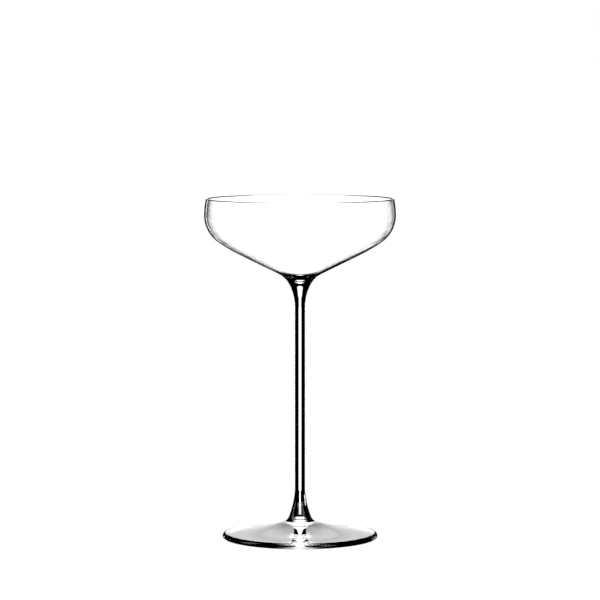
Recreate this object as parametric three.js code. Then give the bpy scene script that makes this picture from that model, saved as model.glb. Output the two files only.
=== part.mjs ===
// Coupe glass: a broad shallow bowl on a thin drawn stem and a round foot, all of clear glass.
// Millimetres, +Z up. The axis of the glass is Z and the foot's resting ring lies on z = 0.
// An outline is traced upward as tangent arcs; its lean is its angle from the vertical in degrees,
// positive where it runs outward and negative where it runs inward.
import * as THREE from 'three';

// Foot
const FOOT_RADIUS = 47.2;
const EDGE_LOWER_RADIUS = 1;
const EDGE_UPPER_RADIUS = 2.4;
const EDGE_LEAN = 87.65;
const FOOT_TOP_LEAN = 71.4;
const RESTING_RING_WIDTH = 1;
const UNDERSIDE_RISE = 0.6;

// Stem
const STEM_RADIUS = 3.1;
const STEM_STRAIGHT_LENGTH = 110.5;
const FLARE_FOOT_RADIUS = 5.4;
const FLARE_FOOT_LEAN = 55.4;
const FLARE_MIDDLE_RADIUS = 60.7;
const FLARE_MIDDLE_LEAN = 20.9;
const FLARE_TOP_RADIUS = 26;
const FLARE_TOP_LEAN = 6.9;
const NECK_RADIUS = 30.3;
const NECK_LEAN = 25.2;
const THROAT_RADIUS = 16.4;
const SEAM_SHARE_OF_THROAT = 0.33;

// Bowl
const CONE_LEAN = 63.7;
const LOWER_RADIUS = 106;
const LOWER_TURN = 8.6;
const SHOULDER_RADIUS = 19.6;
const BELLY_RADIUS = 58.05;
const UPPER_RADIUS = 48;
const RIM_LEAN = 11.85;
const WALL = 1;
const BOTTOM_RADIUS = 33;

// Clear glass
const GLASS_COLOUR = { foot: 0xdde6e8, stem: 0xe2eaec, bowl: 0xe6edef };
const GLASS_ROUGHNESS = 0.04;
const GLASS_OPACITY = 0.35;

// Fineness of the turned surfaces
const SEGMENTS_AROUND = 56;
const LARGEST_SAG = 0.03;

const HALF_TURN = 180;
const LEVEL = HALF_TURN / 2;
const RADIANS = Math.PI / HALF_TURN;

const sin = (degrees) => Math.sin(degrees * RADIANS);
const cos = (degrees) => Math.cos(degrees * RADIANS);
const last = (outline) => outline[outline.length - 1];

// Carries an outline on along an arc, from one lean to another.
function bend(outline, radius, fromLean, toLean) {
  const start = last(outline);
  const turn = toLean - fromLean;
  const reach = Math.sign(turn) * radius;
  const stepTurn = (2 * Math.acos(1 - LARGEST_SAG / radius)) / RADIANS;
  const steps = Math.ceil(Math.abs(turn) / stepTurn);
  for (let i = 1; i <= steps; i += 1) {
    const lean = fromLean + (turn * i) / steps;
    outline.push(new THREE.Vector2(
      start.x + reach * (cos(fromLean) - cos(lean)),
      start.y + reach * (sin(lean) - sin(fromLean)),
    ));
  }
}

// Carries an outline straight on at one lean.
function run(outline, length, lean) {
  const start = last(outline);
  outline.push(new THREE.Vector2(start.x + length * sin(lean), start.y + length * cos(lean)));
}

// Turns a closed outline about the axis into a solid of clear glass.
function turned(name, outline) {
  const geometry = new THREE.LatheGeometry(outline, SEGMENTS_AROUND);
  geometry.rotateX(Math.PI / 2);
  const glass = new THREE.MeshStandardMaterial({
    color: GLASS_COLOUR[name],
    roughness: GLASS_ROUGHNESS,
    metalness: 0,
    transparent: true,
    opacity: GLASS_OPACITY,
  });
  const mesh = new THREE.Mesh(geometry, glass);
  mesh.name = name;
  return mesh;
}

// Foot: a faintly domed underside inside a flat ring, an edge rounded more above than below, and a
// hollow-curved top up to the stem.
const flareFootReach = FLARE_FOOT_RADIUS * (cos(FLARE_MIDDLE_LEAN) - cos(FLARE_FOOT_LEAN));
const flareMiddleReach = FLARE_MIDDLE_RADIUS * (cos(FLARE_TOP_LEAN) - cos(FLARE_MIDDLE_LEAN));
const flareTopReach = FLARE_TOP_RADIUS * (1 - cos(FLARE_TOP_LEAN));
const stemBaseRadius = STEM_RADIUS + flareTopReach + flareMiddleReach + flareFootReach;
const ringOuterRadius = FOOT_RADIUS - EDGE_LOWER_RADIUS;
const ringInnerRadius = ringOuterRadius - RESTING_RING_WIDTH;
const domeRadius = (ringInnerRadius ** 2 + UNDERSIDE_RISE ** 2) / (2 * UNDERSIDE_RISE);
const domeTurn = Math.asin(ringInnerRadius / domeRadius) / RADIANS;

const footOutline = [new THREE.Vector2(0, UNDERSIDE_RISE)];
bend(footOutline, domeRadius, LEVEL, LEVEL + domeTurn);
last(footOutline).set(ringInnerRadius, 0);
footOutline.push(new THREE.Vector2(ringOuterRadius, 0));
bend(footOutline, EDGE_LOWER_RADIUS, LEVEL, 0);
bend(footOutline, EDGE_UPPER_RADIUS, 0, -EDGE_LEAN);
const footTopReach = last(footOutline).x - stemBaseRadius;
bend(footOutline, footTopReach / (cos(FOOT_TOP_LEAN) - cos(EDGE_LEAN)), -EDGE_LEAN, -FOOT_TOP_LEAN);
const footSeam = new THREE.Vector2(stemBaseRadius, last(footOutline).y);
last(footOutline).copy(footSeam);
footOutline.push(new THREE.Vector2(0, footSeam.y));

// Stem: flares down to the foot, runs straight, and opens at the neck and throat under the bowl.
const seamLean = NECK_LEAN + SEAM_SHARE_OF_THROAT * (CONE_LEAN - NECK_LEAN);
const stemOutline = [new THREE.Vector2(0, footSeam.y), footSeam.clone()];
bend(stemOutline, FLARE_FOOT_RADIUS, -FLARE_FOOT_LEAN, -FLARE_MIDDLE_LEAN);
bend(stemOutline, FLARE_MIDDLE_RADIUS, -FLARE_MIDDLE_LEAN, -FLARE_TOP_LEAN);
bend(stemOutline, FLARE_TOP_RADIUS, -FLARE_TOP_LEAN, 0);
run(stemOutline, STEM_STRAIGHT_LENGTH, 0);
bend(stemOutline, NECK_RADIUS, 0, NECK_LEAN);
bend(stemOutline, THROAT_RADIUS, NECK_LEAN, seamLean);
const bowlSeam = last(stemOutline).clone();
stemOutline.push(new THREE.Vector2(0, bowlSeam.y));

// Bowl, outside: the rest of the throat, a cone, a gentle lower curve, the shoulder and the upper wall.
const lowerLean = CONE_LEAN - LOWER_TURN;
const bowlOutline = [new THREE.Vector2(0, bowlSeam.y), bowlSeam.clone()];
bend(bowlOutline, THROAT_RADIUS, seamLean, CONE_LEAN);
const coneFoot = last(bowlOutline).clone();
const lowerReach = LOWER_RADIUS * (cos(lowerLean) - cos(CONE_LEAN));
const shoulderReach = SHOULDER_RADIUS * (1 - cos(lowerLean));
run(bowlOutline, (BELLY_RADIUS - shoulderReach - lowerReach - coneFoot.x) / sin(CONE_LEAN), CONE_LEAN);
const coneHead = last(bowlOutline).clone();
bend(bowlOutline, LOWER_RADIUS, CONE_LEAN, lowerLean);
bend(bowlOutline, SHOULDER_RADIUS, lowerLean, 0);
bend(bowlOutline, UPPER_RADIUS, 0, -RIM_LEAN);

// Bowl, rim: one round bead as wide as the wall.
bend(bowlOutline, WALL / 2, -RIM_LEAN, -RIM_LEAN - HALF_TURN);

// Bowl, inside: a round bottom, then the outer cone and arcs set inward by the wall.
const insideHead = new THREE.Vector2(
  coneHead.x - WALL * cos(CONE_LEAN),
  coneHead.y + WALL * sin(CONE_LEAN),
);
const insideApex = insideHead.y - insideHead.x / Math.tan(CONE_LEAN * RADIANS);
const insideBottom = insideApex + BOTTOM_RADIUS * (1 / sin(CONE_LEAN) - 1);
const insideOutline = [new THREE.Vector2(0, insideBottom)];
bend(insideOutline, BOTTOM_RADIUS, LEVEL, CONE_LEAN);
insideOutline.push(insideHead);
bend(insideOutline, LOWER_RADIUS - WALL, CONE_LEAN, lowerLean);
bend(insideOutline, SHOULDER_RADIUS - WALL, lowerLean, 0);
bend(insideOutline, UPPER_RADIUS - WALL, 0, -RIM_LEAN);
insideOutline.pop();
bowlOutline.push(...insideOutline.reverse());

const coupeGlass = new THREE.Group();
coupeGlass.name = 'coupe_glass';
coupeGlass.add(turned('foot', footOutline));
coupeGlass.add(turned('stem', stemOutline));
coupeGlass.add(turned('bowl', bowlOutline));

export default coupeGlass;
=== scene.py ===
import math

import bpy
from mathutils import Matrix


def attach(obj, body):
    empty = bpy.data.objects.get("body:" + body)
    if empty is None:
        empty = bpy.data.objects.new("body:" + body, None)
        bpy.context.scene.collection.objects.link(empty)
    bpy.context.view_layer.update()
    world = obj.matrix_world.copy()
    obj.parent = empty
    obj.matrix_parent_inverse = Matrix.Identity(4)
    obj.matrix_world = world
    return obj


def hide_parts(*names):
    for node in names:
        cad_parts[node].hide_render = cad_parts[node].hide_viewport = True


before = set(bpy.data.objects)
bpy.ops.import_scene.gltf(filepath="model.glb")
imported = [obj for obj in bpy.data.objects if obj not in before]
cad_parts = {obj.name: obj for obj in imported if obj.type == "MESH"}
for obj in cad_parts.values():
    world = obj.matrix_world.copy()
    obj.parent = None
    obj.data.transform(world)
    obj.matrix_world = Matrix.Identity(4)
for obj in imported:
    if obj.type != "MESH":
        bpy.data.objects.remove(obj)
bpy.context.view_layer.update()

BODY = "root"
MM = 0.001

# The glass's driving dimensions, in millimetres and degrees, as in the solids
FOOT_RADIUS = 47.2
EDGE_LOWER_RADIUS = 1.0
EDGE_UPPER_RADIUS = 2.4
EDGE_LEAN = 87.65
FOOT_TOP_LEAN = 71.4
RESTING_RING_WIDTH = 1.0
UNDERSIDE_RISE = 0.6

STEM_RADIUS = 3.1
STEM_STRAIGHT_LENGTH = 110.5
FLARE_FOOT_RADIUS = 5.4
FLARE_FOOT_LEAN = 55.4
FLARE_MIDDLE_RADIUS = 60.7
FLARE_MIDDLE_LEAN = 20.9
FLARE_TOP_RADIUS = 26.0
FLARE_TOP_LEAN = 6.9
NECK_RADIUS = 30.3
NECK_LEAN = 25.2
THROAT_RADIUS = 16.4
SEAM_SHARE_OF_THROAT = 0.33

CONE_LEAN = 63.7
LOWER_RADIUS = 106.0
LOWER_TURN = 8.6
SHOULDER_RADIUS = 19.6
BELLY_RADIUS = 58.05
UPPER_RADIUS = 48.0
RIM_LEAN = 11.85
WALL = 1.0
BOTTOM_RADIUS = 33.0

# An outline's lean is its angle from the vertical, positive where it runs outward going up
LEVEL = 90
HALF_TURN = 180

# Fineness of the turned surfaces, and the radius below which a point is on the axis
SEGMENTS_AROUND = 160
STEP_DEGREES = 1.5
LEAST_STEPS = 2
SHARP_DEGREES = 30.0
ON_AXIS = 1e-9

# Camera fitted to the photograph's outline: metres, degrees, and millimetres of lens and sensor
CAMERA_DISTANCE = 1.775
CAMERA_HEIGHT = 0.2853
CAMERA_PITCH = 4.5176
CAMERA_LENS = 176.2
SENSOR_WIDTH = 36.0

# Studio: soft white cards in the dark, placed by direction from the glass. A card has the bearing of its
# middle, from +Y towards +X, its half width and the softness of its sides, its lowest and highest rise
# and the softness of those ends, all in degrees, and its light in parts of white.
ABOVE = dict(bearing=0.0, half=7.3, soft=2.5, low=1.5, high=14.0, fade=1.0, light=1.7)
OVERHEAD = dict(bearing=0.0, half=10.0, soft=5.0, low=10.0, high=57.0, fade=4.0, light=1.9)
OVERHEAD_MIDDLE = dict(bearing=0.0, half=10.0, soft=5.0, low=17.0, high=45.0, fade=10.0, light=3.0)
SEEN_BY_ALL = (ABOVE, OVERHEAD, OVERHEAD_MIDDLE)

# Seen through the solid stem and foot
BEHIND_NECK = dict(bearing=0.0, half=7.3, soft=2.5, low=-5.2, high=14.0, fade=0.6, light=1.7)
BEHIND_STEM = dict(bearing=0.0, half=9.0, soft=3.0, low=-11.0, high=-3.6, fade=0.6, light=1.9)
STEM_MIDDLE = dict(bearing=0.0, half=5.0, soft=1.2, low=-11.0, high=-3.6, fade=0.6, light=2.4)
BEHIND_FOOT = dict(bearing=0.0, half=3.6, soft=1.4, low=-58.0, high=-9.0, fade=1.5, light=1.9)
THROUGH_SOLID = (BEHIND_NECK, BEHIND_STEM, STEM_MIDDLE)
STRAIGHT_THROUGH_SOLID = (BEHIND_FOOT,)

# Seen through both walls of the bowl
BEHIND_WALL = dict(bearing=0.0, half=7.3, soft=2.2, low=-3.6, high=14.0, fade=0.6, light=1.7)
BEHIND_SHOULDER = dict(bearing=0.0, half=8.1, soft=1.2, low=-14.0, high=-3.0, fade=0.6, light=1.7)
SHOULDER_MIDDLE = dict(bearing=0.0, half=5.0, soft=1.2, low=-14.0, high=-3.0, fade=0.6, light=2.4)
BEHIND_CONE = dict(bearing=0.0, half=2.5, soft=1.0, low=-58.0, high=-13.0, fade=1.0, light=1.7)
THROUGH_BOWL = (BEHIND_WALL, BEHIND_SHOULDER, SHOULDER_MIDDLE, BEHIND_CONE)

# For the other sides of the glass: seen straight through it, with no reflection on the way
FAR_LEFT = dict(bearing=-90.0, half=9.0, soft=3.0, low=-9.0, high=12.0, fade=0.6, light=1.7)
UNDER_LEFT = dict(bearing=-45.0, half=7.0, soft=2.0, low=-45.0, high=-20.0, fade=1.0, light=1.7)
UNDER_RIGHT = dict(bearing=135.0, half=10.0, soft=3.0, low=-40.0, high=-4.0, fade=0.6, light=1.7)
STRAIGHT_THROUGH = (FAR_LEFT, UNDER_LEFT, UNDER_RIGHT)
UNDER_LEFT_BOWL = dict(bearing=-45.0, half=10.0, soft=3.0, low=-31.0, high=-17.0, fade=1.0, light=1.7)
STRAIGHT_THROUGH_BOWL = (UNDER_LEFT_BOWL,)

# Seen only mirrored in the outside of the glass
SHEEN_LEFT = dict(bearing=-90.0, half=10.0, soft=4.0, low=10.0, high=50.0, fade=4.0, light=2.0)
SHEEN_RIGHT = dict(bearing=135.0, half=10.0, soft=4.0, low=14.0, high=55.0, fade=4.0, light=2.0)
LOW_RIGHT = dict(bearing=14.75, half=2.75, soft=0.5, low=-26.0, high=-17.0, fade=1.0, light=1.5)
FOOT_FAR_EDGE = dict(bearing=0.0, half=2.5, soft=1.0, low=-9.5, high=1.5, fade=1.0, light=1.7)
MIRRORED = (SHEEN_LEFT, SHEEN_RIGHT, LOW_RIGHT, FOOT_FAR_EDGE)

# Mirrored too: strips bent round a direction a little below +Y. A strip has its side, -1 left or 1 right,
# its least and greatest angle from that direction, and the rest as a card has.
STRIP_MIDDLE_RISE = -3.0
STRIP_LEFT = dict(side=-1, inner=23.5, outer=28.0, soft=0.8, low=-16.0, high=3.0, fade=1.0, light=2.5)
STRIP_LEFT_LOW = dict(side=-1, inner=18.5, outer=27.0, soft=0.8, low=-20.2, high=-16.0, fade=0.7, light=2.0)
STRIP_RIGHT = dict(side=1, inner=23.0, outer=45.0, soft=1.5, low=-9.0, high=3.0, fade=1.5, light=1.0)
STRIP_RIGHT_LOW = dict(side=1, inner=23.0, outer=36.0, soft=1.5, low=-17.0, high=-9.0, fade=1.0, light=1.5)
MIRRORED_STRIPS = (STRIP_LEFT, STRIP_LEFT_LOW, STRIP_RIGHT, STRIP_RIGHT_LOW)

# Surfaces gone through: past the first limit a ray has been bent, past the second by the bowl's walls
BENT_ONCE = 0.5
BENT_BY_BOWL = 2.5

# Glass: its clear colour, the faint cords in it, and the painted shade of an edge: a darker colour where
# the facing weight says that the surface is seen along: 0 is square on and 1 along
CLEAR = (1.0, 1.0, 1.0, 1.0)
CORD_TINT = (0.975, 0.985, 0.98, 1.0)
CORD_SCALE = 30.0
CORD_DETAIL = 2.0
WALL_EDGE_PAINTED_SHADE = (0.04, 0.04, 0.04, 1.0)
SOLID_EDGE_PAINTED_SHADE = (0.95, 0.96, 0.955, 1.0)
EDGE_SHADE_FROM = 0.855
EDGE_SHADE_TO = 0.89
REFRACTION = 1.5

# Painted shade on the rim's bead too: darker over this depth in millimetres, the more it is seen along
RIM_PAINTED_SHADE = (0.05, 0.05, 0.05, 1.0)
RIM_DEPTH = 0.7
RIM_SOFT = 0.2
RIM_FROM = 0.03
RIM_TO = 0.25

# Contact shadow under the foot, in millimetres; it stops the rays that come down through the glass at
# less than this many degrees below the level
SHADOW_RADIUS = 50.0
SHADOW_DROP = 0.2
SHADOW_BELOW = 15.0
SHADOW_SOFT = 1.0

# White sweep: its own shade, the glow that the camera sees, and half its side in metres
SWEEP_SHADE = (0.12, 0.12, 0.12, 1.0)
SWEEP_GLOW = 0.93
SWEEP_HALF_SIDE = 6.0

WHITE = (1.0, 1.0, 1.0, 1.0)
BOUNCES = 64


def sin(degrees):
    return math.sin(math.radians(degrees))


def cos(degrees):
    return math.cos(math.radians(degrees))


def bend(outline, radius, from_lean, to_lean):
    """Carries an outline on along an arc, from one lean to another."""
    r, z = outline[-1]
    turn = to_lean - from_lean
    reach = math.copysign(radius, turn)
    steps = max(LEAST_STEPS, math.ceil(abs(turn) / STEP_DEGREES))
    for i in range(1, steps + 1):
        lean = from_lean + turn * i / steps
        outline.append((r + reach * (cos(from_lean) - cos(lean)), z + reach * (sin(lean) - sin(from_lean))))


def run(outline, length, lean):
    """Carries an outline straight on at one lean."""
    r, z = outline[-1]
    outline.append((r + length * sin(lean), z + length * cos(lean)))


def foot_outline():
    """From the underside's middle round the edge and up to the stem's seam."""
    base_reach = (
        FLARE_FOOT_RADIUS * (cos(FLARE_MIDDLE_LEAN) - cos(FLARE_FOOT_LEAN))
        + FLARE_MIDDLE_RADIUS * (cos(FLARE_TOP_LEAN) - cos(FLARE_MIDDLE_LEAN))
        + FLARE_TOP_RADIUS * (1 - cos(FLARE_TOP_LEAN))
    )
    ring_outer = FOOT_RADIUS - EDGE_LOWER_RADIUS
    ring_inner = ring_outer - RESTING_RING_WIDTH
    dome_radius = (ring_inner**2 + UNDERSIDE_RISE**2) / (2 * UNDERSIDE_RISE)
    dome_turn = math.degrees(math.asin(ring_inner / dome_radius))
    outline = [(0.0, UNDERSIDE_RISE)]
    bend(outline, dome_radius, LEVEL, LEVEL + dome_turn)
    outline[-1] = (ring_inner, 0.0)
    outline.append((ring_outer, 0.0))
    bend(outline, EDGE_LOWER_RADIUS, LEVEL, 0)
    bend(outline, EDGE_UPPER_RADIUS, 0, -EDGE_LEAN)
    top_reach = outline[-1][0] - STEM_RADIUS - base_reach
    bend(outline, top_reach / (cos(FOOT_TOP_LEAN) - cos(EDGE_LEAN)), -EDGE_LEAN, -FOOT_TOP_LEAN)
    return outline


def stem_outline(foot_seam, seam_lean):
    """From the foot's seam up to the bowl's."""
    outline = [foot_seam]
    bend(outline, FLARE_FOOT_RADIUS, -FLARE_FOOT_LEAN, -FLARE_MIDDLE_LEAN)
    bend(outline, FLARE_MIDDLE_RADIUS, -FLARE_MIDDLE_LEAN, -FLARE_TOP_LEAN)
    bend(outline, FLARE_TOP_RADIUS, -FLARE_TOP_LEAN, 0)
    run(outline, STEM_STRAIGHT_LENGTH, 0)
    bend(outline, NECK_RADIUS, 0, NECK_LEAN)
    bend(outline, THROAT_RADIUS, NECK_LEAN, seam_lean)
    return outline


def bowl_outline(stem_seam, seam_lean):
    """From the stem's seam up the outside, over the rim and down the inside to the middle."""
    lower_lean = CONE_LEAN - LOWER_TURN
    outline = [stem_seam]
    bend(outline, THROAT_RADIUS, seam_lean, CONE_LEAN)
    lower_reach = LOWER_RADIUS * (cos(lower_lean) - cos(CONE_LEAN))
    shoulder_reach = SHOULDER_RADIUS * (1 - cos(lower_lean))
    cone_reach = BELLY_RADIUS - shoulder_reach - lower_reach - outline[-1][0]
    run(outline, cone_reach / sin(CONE_LEAN), CONE_LEAN)
    head_r, head_z = outline[-1]
    bend(outline, LOWER_RADIUS, CONE_LEAN, lower_lean)
    bend(outline, SHOULDER_RADIUS, lower_lean, 0)
    bend(outline, UPPER_RADIUS, 0, -RIM_LEAN)
    bend(outline, WALL / 2, -RIM_LEAN, -RIM_LEAN - HALF_TURN)

    inside_head = (head_r - WALL * cos(CONE_LEAN), head_z + WALL * sin(CONE_LEAN))
    apex = inside_head[1] - inside_head[0] * cos(CONE_LEAN) / sin(CONE_LEAN)
    inside = [(0.0, apex + BOTTOM_RADIUS * (1 / sin(CONE_LEAN) - 1))]
    bend(inside, BOTTOM_RADIUS, LEVEL, CONE_LEAN)
    inside.append(inside_head)
    bend(inside, LOWER_RADIUS - WALL, CONE_LEAN, lower_lean)
    bend(inside, SHOULDER_RADIUS - WALL, lower_lean, 0)
    bend(inside, UPPER_RADIUS - WALL, 0, -RIM_LEAN)
    return outline + inside[-2::-1]


def circle(radius, height):
    """Points round the axis, in metres."""
    points = []
    for i in range(SEGMENTS_AROUND):
        angle = math.tau * i / SEGMENTS_AROUND
        points.append((radius * MM * math.cos(angle), radius * MM * math.sin(angle), height * MM))
    return points


def placed(name, data):
    """A new object in the scene."""
    thing = bpy.data.objects.new(name, data)
    bpy.context.collection.objects.link(thing)
    return thing


def turned(name, outline, low_seam, high_seam, glass, seam_glass):
    """A closed solid turned from an outline; a flat seam closes an end that meets another piece."""
    verts = []
    rings = []
    for r, z in outline:
        ring = [(0.0, 0.0, z * MM)] if r < ON_AXIS else circle(r, z)
        rings.append(range(len(verts), len(verts) + len(ring)))
        verts.extend(ring)
    faces = []
    for low, high in zip(rings, rings[1:]):
        for i in range(SEGMENTS_AROUND):
            j = (i + 1) % SEGMENTS_AROUND
            corners = (low[i % len(low)], low[j % len(low)], high[j % len(high)], high[i % len(high)])
            faces.append(list(dict.fromkeys(corners)))
    seams = []
    if low_seam:
        seams.append(list(reversed(rings[0])))
    if high_seam:
        seams.append(list(rings[-1]))
    mesh = bpy.data.meshes.new(name)
    mesh.from_pydata(verts, [], faces + seams)
    mesh.materials.append(glass)
    mesh.materials.append(seam_glass)
    for polygon in mesh.polygons[len(faces):]:
        polygon.material_index = mesh.materials.find(seam_glass.name)
    mesh.shade_smooth()
    mesh.set_sharp_from_angle(angle=math.radians(SHARP_DEGREES))
    mesh.update()
    return placed(name, mesh)


def wire(tree, value, socket):
    """Sets an input from a plain value, or links it from another node's output."""
    if isinstance(value, bpy.types.NodeSocket):
        tree.links.new(value, socket)
    else:
        socket.default_value = value


def maths(tree, operation, *values):
    """A Math node's result."""
    node = tree.nodes.new("ShaderNodeMath")
    node.operation = operation
    for value, socket in zip(values, node.inputs):
        wire(tree, value, socket)
    return node.outputs[0]


def step(tree, value, low, high):
    """Rises smoothly from 0 to 1 as value goes from low to high."""
    node = tree.nodes.new("ShaderNodeMapRange")
    node.interpolation_type = "SMOOTHSTEP"
    wire(tree, value, node.inputs["Value"])
    node.inputs["From Min"].default_value = low
    node.inputs["From Max"].default_value = high
    return node.outputs["Result"]


def between(tree, value, low, high, soft):
    """1 from low to high and 0 beyond them, with soft ends."""
    over_low = step(tree, value, low - soft, low + soft)
    over_high = step(tree, value, high - soft, high + soft)
    return maths(tree, "SUBTRACT", over_low, over_high)


def blend(tree, share, first, second):
    """One colour passing into another by a share."""
    node = tree.nodes.new("ShaderNodeMix")
    node.data_type = "RGBA"
    sockets = [socket for socket in node.inputs if socket.enabled and socket.name in ("Factor", "A", "B")]
    for value, socket in zip((share, first, second), sockets):
        wire(tree, value, socket)
    return next(socket for socket in node.outputs if socket.enabled)


def node_material(name):
    """A new material and its node tree."""
    material = bpy.data.materials.new(name)
    material.use_nodes = True
    return material, material.node_tree


def rim_shade_share(tree, height, facing, rim_height):
    """How much painted shade a point gets: how far it is on the rim's bead and seen along it."""
    bead_foot = rim_height - RIM_DEPTH
    on_bead = step(tree, height, (bead_foot - RIM_SOFT) * MM, (bead_foot + RIM_SOFT) * MM)
    return maths(tree, "MULTIPLY", on_bead, step(tree, facing, RIM_FROM, RIM_TO))


def clear_glass(name, painted_edge_shade, rim_height=None):
    """Clear fire-polished glass: faint cords in its colour, and painted shade where it is seen along."""
    material, tree = node_material(name)
    coords = tree.nodes.new("ShaderNodeTexCoord")
    cords = tree.nodes.new("ShaderNodeTexNoise")
    cords.inputs["Scale"].default_value = CORD_SCALE
    cords.inputs["Detail"].default_value = CORD_DETAIL
    tree.links.new(coords.outputs["Object"], cords.inputs["Vector"])
    facing = tree.nodes.new("ShaderNodeLayerWeight").outputs["Facing"]
    colour = blend(tree, cords.outputs["Fac"], CLEAR, CORD_TINT)
    # Painted shade: the colour darkens to the edge's painted shade where the surface is seen along
    colour = blend(tree, step(tree, facing, EDGE_SHADE_FROM, EDGE_SHADE_TO), colour, painted_edge_shade)
    if rim_height is not None:
        axes = tree.nodes.new("ShaderNodeSeparateXYZ")
        tree.links.new(coords.outputs["Object"], axes.inputs[0])
        # Painted shade on the rim's bead, darker the more it is seen along
        colour = blend(tree, rim_shade_share(tree, axes.outputs["Z"], facing, rim_height), colour, RIM_PAINTED_SHADE)
    shader = tree.nodes["Principled BSDF"]
    tree.links.new(colour, shader.inputs["Base Color"])
    shader.inputs["Roughness"].default_value = 0.0
    shader.inputs["IOR"].default_value = REFRACTION
    shader.inputs["Transmission Weight"].default_value = 1.0
    return material


def fused_seam():
    """Where two pieces are fused there is no surface: light passes straight on."""
    material, tree = node_material("fused_seam")
    tree.nodes.remove(tree.nodes["Principled BSDF"])
    clear = tree.nodes.new("ShaderNodeBsdfTransparent")
    tree.links.new(clear.outputs["BSDF"], tree.nodes["Material Output"].inputs["Surface"])
    return material


def card(tree, axes, rise, bearing, half, soft, low, high, fade, light):
    """The light of one card in the direction that a ray goes."""
    x, y, _ = axes
    east = sin(bearing)
    north = cos(bearing)
    across = maths(tree, "SUBTRACT", maths(tree, "MULTIPLY", x, north), maths(tree, "MULTIPLY", y, east))
    along = maths(tree, "ADD", maths(tree, "MULTIPLY", x, east), maths(tree, "MULTIPLY", y, north))
    beside = maths(tree, "DEGREES", maths(tree, "ABSOLUTE", maths(tree, "ARCTAN2", across, along)))
    outside = step(tree, beside, half - soft, half + soft)
    tall = maths(tree, "MULTIPLY", between(tree, rise, low, high, fade), light)
    return maths(tree, "MULTIPLY", maths(tree, "SUBTRACT", 1.0, outside), tall)


def strip(tree, direction, axes, rise, side, inner, outer, soft, low, high, fade, light):
    """The light of one bent strip in the direction that a ray goes."""
    dot = tree.nodes.new("ShaderNodeVectorMath")
    dot.operation = "DOT_PRODUCT"
    tree.links.new(direction, dot.inputs[0])
    dot.inputs[1].default_value = (0.0, cos(STRIP_MIDDLE_RISE), sin(STRIP_MIDDLE_RISE))
    away = maths(tree, "DEGREES", maths(tree, "ARCCOSINE", dot.outputs["Value"]))
    band = maths(tree, "MULTIPLY", between(tree, away, inner, outer, soft), light)
    tall = maths(tree, "MULTIPLY", band, between(tree, rise, low, high, fade))
    beside = maths(tree, "GREATER_THAN", maths(tree, "MULTIPLY", axes[0], side), 0.0)
    return maths(tree, "MULTIPLY", tall, beside)


def studio_world():
    """White to the camera and to the floor; white cards in the dark to the glass."""
    world = bpy.data.worlds.new("studio")
    bpy.context.scene.world = world
    world.use_nodes = True
    tree = world.node_tree
    back = tree.nodes["Background"]
    direction = tree.nodes.new("ShaderNodeTexCoord").outputs["Generated"]
    axes = tree.nodes.new("ShaderNodeSeparateXYZ")
    tree.links.new(direction, axes.inputs[0])
    rise = maths(tree, "DEGREES", maths(tree, "ARCSINE", axes.outputs["Z"]))
    ray = tree.nodes.new("ShaderNodeLightPath").outputs
    bent = maths(tree, "GREATER_THAN", ray["Transmission Depth"], BENT_ONCE)
    bent_by_bowl = maths(tree, "GREATER_THAN", ray["Transmission Depth"], BENT_BY_BOWL)
    bent_by_solid = maths(tree, "SUBTRACT", bent, bent_by_bowl)
    straight = maths(tree, "LESS_THAN", ray["Glossy Depth"], ray["Is Transmission Ray"])
    mirrored = maths(tree, "LESS_THAN", ray["Transmission Depth"], ray["Is Glossy Ray"])
    seen_by = (
        (SEEN_BY_ALL, maths(tree, "SUBTRACT", 1.0, ray["Is Camera Ray"])),
        (THROUGH_SOLID, bent_by_solid),
        (STRAIGHT_THROUGH_SOLID, maths(tree, "MULTIPLY", straight, bent_by_solid)),
        (THROUGH_BOWL, bent_by_bowl),
        (STRAIGHT_THROUGH, straight),
        (STRAIGHT_THROUGH_BOWL, maths(tree, "MULTIPLY", straight, bent_by_bowl)),
        (MIRRORED, mirrored),
    )
    light = maths(tree, "MAXIMUM", ray["Is Camera Ray"], ray["Is Diffuse Ray"])
    for cards, seen in seen_by:
        for facts in cards:
            glow = card(tree, axes.outputs, rise, **facts)
            light = maths(tree, "MAXIMUM", light, maths(tree, "MULTIPLY", glow, seen))
    for facts in MIRRORED_STRIPS:
        glow = strip(tree, direction, axes.outputs, rise, **facts)
        light = maths(tree, "MAXIMUM", light, maths(tree, "MULTIPLY", glow, mirrored))
    back.inputs["Color"].default_value = WHITE
    tree.links.new(light, back.inputs["Strength"])


def white_floor():
    """A plain pale sweep that is white to the camera and keeps a faint shadow."""
    material, tree = node_material("white_sweep")
    shader = tree.nodes["Principled BSDF"]
    shader.inputs["Base Color"].default_value = SWEEP_SHADE
    shader.inputs["Roughness"].default_value = 1.0
    shader.inputs["Specular IOR Level"].default_value = 0.0
    shader.inputs["Emission Color"].default_value = WHITE
    ray = tree.nodes.new("ShaderNodeLightPath")
    glow = maths(tree, "MULTIPLY", ray.outputs["Is Camera Ray"], SWEEP_GLOW)
    tree.links.new(glow, shader.inputs["Emission Strength"])
    side = SWEEP_HALF_SIDE
    corners = [(-side, -side, 0), (side, -side, 0), (side, side, 0), (-side, side, 0)]
    mesh = bpy.data.meshes.new("floor")
    mesh.from_pydata(corners, [], [list(range(len(corners)))])
    mesh.materials.append(material)
    floor = placed("floor", mesh)
    floor.visible_transmission = False
    floor.visible_glossy = False


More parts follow.
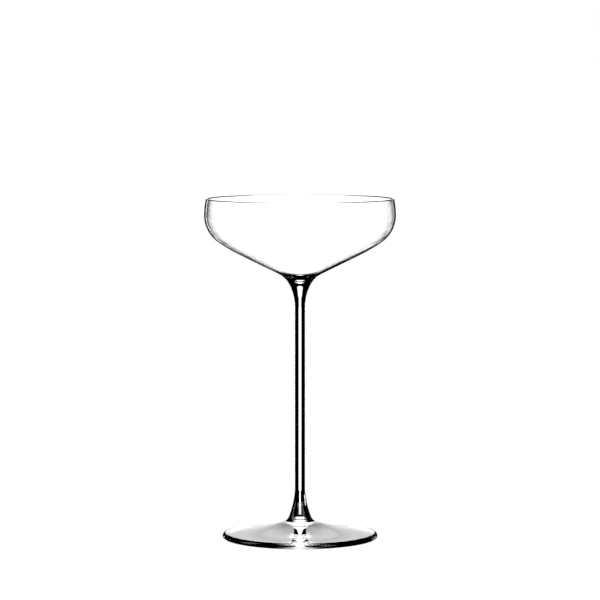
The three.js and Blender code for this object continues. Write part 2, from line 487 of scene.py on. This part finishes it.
def contact_shadow():
    """The dark under the foot, met only by shallow rays that have gone through the glass."""
    material, tree = node_material("contact_shadow")
    tree.nodes.remove(tree.nodes["Principled BSDF"])
    facing = tree.nodes.new("ShaderNodeLayerWeight").outputs["Facing"]
    steep = 1 - sin(SHADOW_BELOW + SHADOW_SOFT)
    shallow = 1 - sin(SHADOW_BELOW - SHADOW_SOFT)
    clear = tree.nodes.new("ShaderNodeBsdfTransparent")
    black = tree.nodes.new("ShaderNodeEmission")
    black.inputs["Strength"].default_value = 0.0
    mix = tree.nodes.new("ShaderNodeMixShader")
    tree.links.new(step(tree, facing, steep, shallow), mix.inputs["Fac"])
    tree.links.new(clear.outputs["BSDF"], mix.inputs[1])
    tree.links.new(black.outputs["Emission"], mix.inputs[2])
    tree.links.new(mix.outputs["Shader"], tree.nodes["Material Output"].inputs["Surface"])
    mesh = bpy.data.meshes.new("contact_shadow")
    mesh.from_pydata(circle(SHADOW_RADIUS, -SHADOW_DROP), [], [list(range(SEGMENTS_AROUND))])
    mesh.materials.append(material)
    shadow = placed("contact_shadow", mesh)
    shadow.visible_camera = False
    shadow.visible_diffuse = False
    shadow.visible_shadow = False


def photo_camera():
    """The photograph's camera: a long lens, a little above the rim, looking slightly down."""
    camera = placed("camera", bpy.data.cameras.new("camera"))
    camera.location = (0.0, -CAMERA_DISTANCE, CAMERA_HEIGHT)
    camera.rotation_euler = (math.radians(LEVEL - CAMERA_PITCH), 0.0, 0.0)
    camera.data.sensor_width = SENSOR_WIDTH
    camera.data.lens = CAMERA_LENS
    bpy.context.scene.camera = camera


seam_lean = NECK_LEAN + SEAM_SHARE_OF_THROAT * (CONE_LEAN - NECK_LEAN)
foot_line = foot_outline()
stem_line = stem_outline(foot_line[-1], seam_lean)
bowl_line = bowl_outline(stem_line[-1], seam_lean)
rim_height = max(z for _, z in bowl_line)

wall_glass = clear_glass("thin_wall_glass", WALL_EDGE_PAINTED_SHADE, rim_height)
solid_glass = clear_glass("solid_glass", SOLID_EDGE_PAINTED_SHADE)
seam_glass = fused_seam()

for node, outline, low_seam, high_seam, glass in (
    ("foot", foot_line, False, True, solid_glass),
    ("stem", stem_line, True, True, solid_glass),
    ("bowl", bowl_line, True, False, wall_glass),
):
    piece = turned(node + "_glass", outline, low_seam, high_seam, glass, seam_glass)
    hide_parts(node)
    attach(piece, BODY)

studio_world()
white_floor()
contact_shadow()
photo_camera()

scene = bpy.context.scene
scene.view_settings.view_transform = "Standard"
scene.cycles.max_bounces = BOUNCES
scene.cycles.transmission_bounces = BOUNCES
scene.cycles.glossy_bounces = BOUNCES
scene.cycles.transparent_max_bounces = BOUNCES
